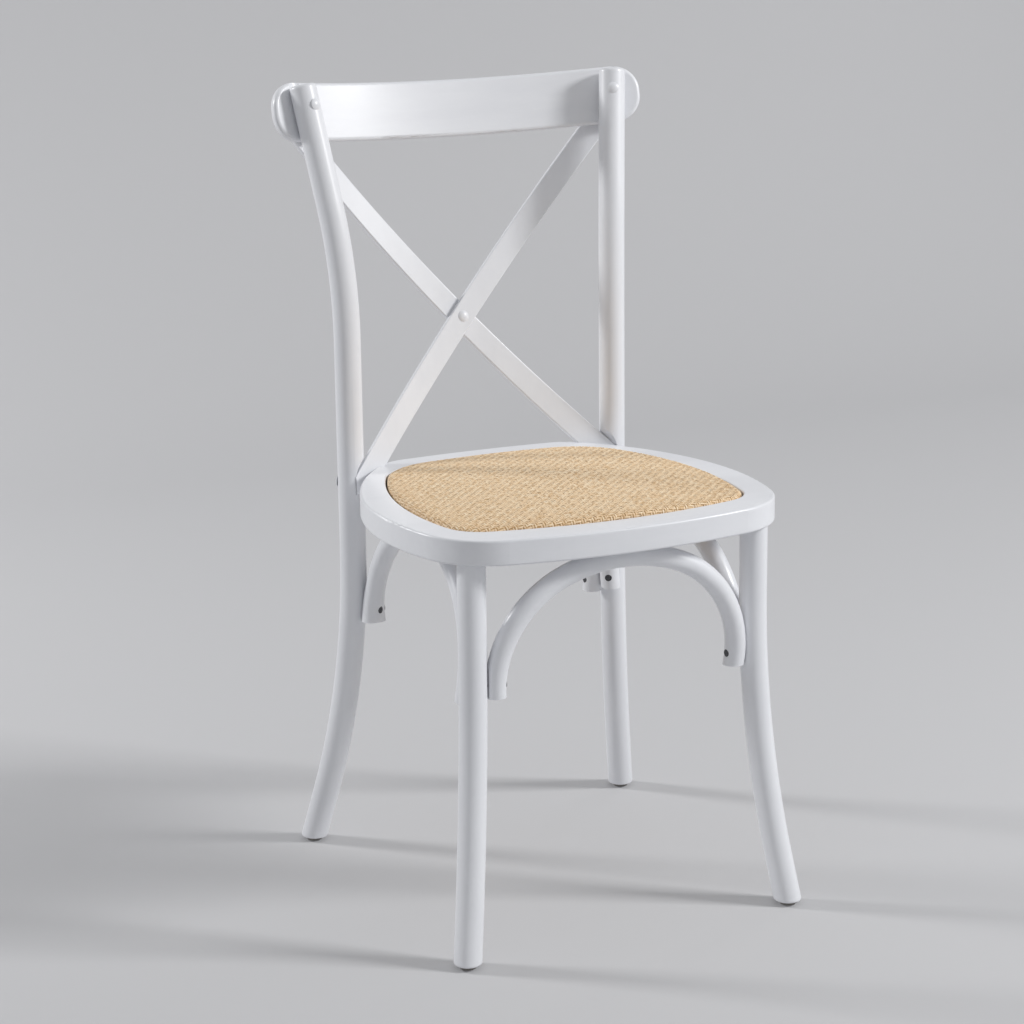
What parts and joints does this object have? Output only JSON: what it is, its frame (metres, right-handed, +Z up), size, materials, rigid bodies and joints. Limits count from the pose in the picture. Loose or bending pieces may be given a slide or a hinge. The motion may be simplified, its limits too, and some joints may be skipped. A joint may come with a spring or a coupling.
{
  "type": "cross back dining chair",
  "caption": "Dining chair of bent round rods with a bowed top rail, crossed back straps, arch braces and a woven seat panel set in a rounded ring.",
  "frame": {"origin": "on the floor under the middle of the chair's bounding box", "axes": "+Z up, the chair faces -Y, +X towards the sitter's left"},
  "size_m": [0.456, 0.4932, 0.891],
  "materials": {
    "white_wood": "white satin lacquer",
    "plain_board": "bare plywood",
    "woven_cord": "natural twisted cord in a diagonal weave",
    "cap_paint": "white satin paint",
    "steel": "zinc plated",
    "glide": "plain"
  },
  "bodies": {
    "root": {"arch_top_screws": "steel", "cross_bolt": "cap_paint", "cross_nut": "steel", "front_arch": "white_wood", "front_arch_screws": "steel", "front_leg_left": "white_wood", "front_leg_right": "white_wood", "glide_front_leg_left": "glide", "glide_front_leg_right": "glide", "glide_rear_post_left": "glide", "glide_rear_post_right": "glide", "left_arch": "white_wood", "left_arch_screws": "steel", "rail_bolt_left": "cap_paint", "rail_bolt_right": "cap_paint", "rail_nut_left": "steel", "rail_nut_right": "steel", "rear_arch": "white_wood", "rear_arch_screws": "steel", "rear_post_left": "white_wood", "rear_post_right": "white_wood", "right_arch": "white_wood", "right_arch_screws": "steel", "seat_board": "plain_board", "seat_board_screws": "steel", "seat_bolt_left": "cap_paint", "seat_bolt_right": "cap_paint", "seat_ring": "white_wood", "seat_weave": "woven_cord", "strap_front": "white_wood", "strap_front_screw": "steel", "strap_rear": "white_wood", "strap_rear_screw": "steel", "top_rail": "white_wood"}
  },
  "joints": []
}
